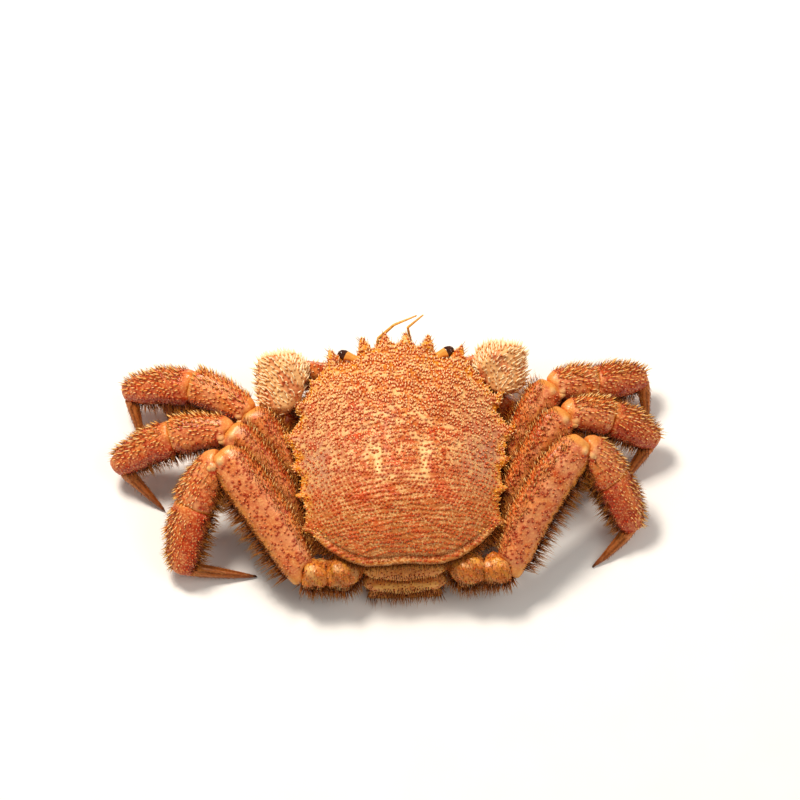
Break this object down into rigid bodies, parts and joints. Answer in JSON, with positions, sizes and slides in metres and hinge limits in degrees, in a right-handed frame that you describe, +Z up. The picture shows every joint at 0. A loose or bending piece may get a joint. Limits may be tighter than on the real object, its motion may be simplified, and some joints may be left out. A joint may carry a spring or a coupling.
{
  "type": "cooked crab",
  "caption": "Whole cooked hairy crab resting on its underside, walking legs folded beside a granular orange shell.",
  "frame": {"origin": "middle of the ground that the crab covers, under its body", "axes": "+Z up, +Y the way the crab faces, +X towards the crab's right side"},
  "size_m": [0.2386, 0.1158, 0.0481],
  "materials": {
    "carapace_shell": "satin",
    "limb_shell": "satin",
    "under_shell": "satin",
    "toe_horn": "satin",
    "claw_tip": "satin",
    "feeler": "matte",
    "eye": "gloss",
    "hair": "matte"
  },
  "bodies": {
    "root": {"carapace": "carapace_shell", "thorax": "under_shell", "abdomen_band_1": "under_shell", "abdomen_band_2": "under_shell", "abdomen_flap": "under_shell", "mouth_plates": "under_shell", "eye_left": "eye", "eye_right": "eye", "feeler_left": "feeler", "feeler_right": "feeler", "leg_2_left_base": "limb_shell", "leg_2_left_merus": "limb_shell", "leg_2_left_carpus": "limb_shell", "leg_2_left_propodus": "limb_shell", "leg_2_left_dactylus": "toe_horn", "leg_3_left_base": "limb_shell", "leg_3_left_merus": "limb_shell", "leg_3_left_carpus": "limb_shell", "leg_3_left_propodus": "limb_shell", "leg_3_left_dactylus": "toe_horn", "leg_4_left_base": "limb_shell", "leg_4_left_merus": "limb_shell", "leg_4_left_carpus": "limb_shell", "leg_4_left_propodus": "limb_shell", "leg_4_left_dactylus": "toe_horn", "leg_5_left_coxa": "limb_shell", "leg_5_left_base": "limb_shell", "leg_5_left_merus": "limb_shell", "leg_5_left_carpus": "limb_shell", "leg_5_left_propodus": "limb_shell", "leg_5_left_dactylus": "toe_horn", "claw_left_merus": "limb_shell", "claw_left_carpus": "limb_shell", "claw_left_palm": "limb_shell", "claw_left_finger": "claw_tip", "leg_2_right_base": "limb_shell", "leg_2_right_merus": "limb_shell", "leg_2_right_carpus": "limb_shell", "leg_2_right_propodus": "limb_shell", "leg_2_right_dactylus": "toe_horn", "leg_3_right_base": "limb_shell", "leg_3_right_merus": "limb_shell", "leg_3_right_carpus": "limb_shell", "leg_3_right_propodus": "limb_shell", "leg_3_right_dactylus": "toe_horn", "leg_4_right_base": "limb_shell", "leg_4_right_merus": "limb_shell", "leg_4_right_carpus": "limb_shell", "leg_4_right_propodus": "limb_shell", "leg_4_right_dactylus": "toe_horn", "leg_5_right_coxa": "limb_shell", "leg_5_right_base": "limb_shell", "leg_5_right_merus": "limb_shell", "leg_5_right_carpus": "limb_shell", "leg_5_right_propodus": "limb_shell", "leg_5_right_dactylus": "toe_horn", "claw_right_merus": "limb_shell", "claw_right_carpus": "limb_shell", "claw_right_palm": "limb_shell", "claw_right_finger": "claw_tip"}
  },
  "joints": []
}
